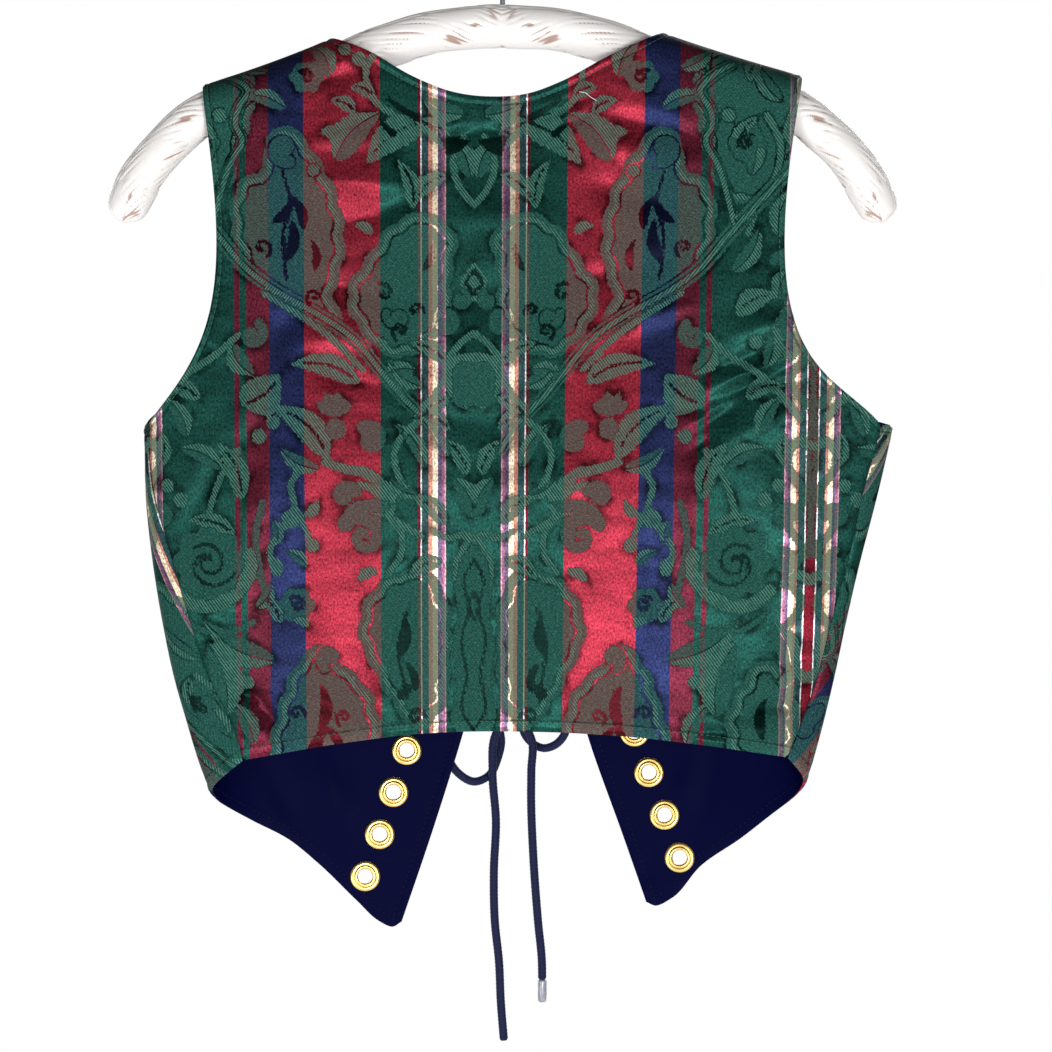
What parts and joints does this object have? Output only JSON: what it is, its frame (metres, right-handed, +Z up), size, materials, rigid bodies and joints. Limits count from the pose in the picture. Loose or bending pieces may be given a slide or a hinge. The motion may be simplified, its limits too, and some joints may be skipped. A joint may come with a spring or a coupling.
{
  "type": "laced bodice on a padded hanger",
  "caption": "Sleeveless cropped bodice of striped brocade with pointed fronts laced through brass grommets, lined, hanging on a satin padded hanger with a wire hook.",
  "frame": {"origin": "highest point inside the hanger's hook, where a rail carries it", "axes": "+Z up; -Y towards the wearer's front, where the lacing is; +X towards the wearer's left"},
  "size_m": [0.4546, 0.09, 0.6657],
  "materials": {
    "brocade": "satin-weave jacquard with vertical stripes",
    "lining": "plain navy satin",
    "brass": "polished",
    "braid": "round braid, navy",
    "clear_tip": "clear",
    "satin": "ruched satin, ivory to pink",
    "steel": "bright wire"
  },
  "bodies": {
    "root": {"back": "brocade", "back_lining": "lining", "front_left": "brocade", "front_left_lining": "lining", "front_right": "brocade", "front_right_lining": "lining", "grommet_left_1": "brass", "grommet_left_2": "brass", "grommet_left_3": "brass", "grommet_left_4": "brass", "grommet_left_5": "brass", "grommet_left_6": "brass", "grommet_left_7": "brass", "grommet_left_8": "brass", "grommet_left_9": "brass", "grommet_right_1": "brass", "grommet_right_2": "brass", "grommet_right_3": "brass", "grommet_right_4": "brass", "grommet_right_5": "brass", "grommet_right_6": "brass", "grommet_right_7": "brass", "grommet_right_8": "brass", "grommet_right_9": "brass", "hanger_hook": "steel", "hanger_pad": "satin", "lace_end_left": "braid", "lace_end_right": "braid", "lace_knot": "braid", "lace_laced_left": "braid", "lace_laced_right": "braid", "lace_loop_left": "braid", "lace_loop_right": "braid", "lace_tip": "clear_tip"}
  },
  "joints": []
}
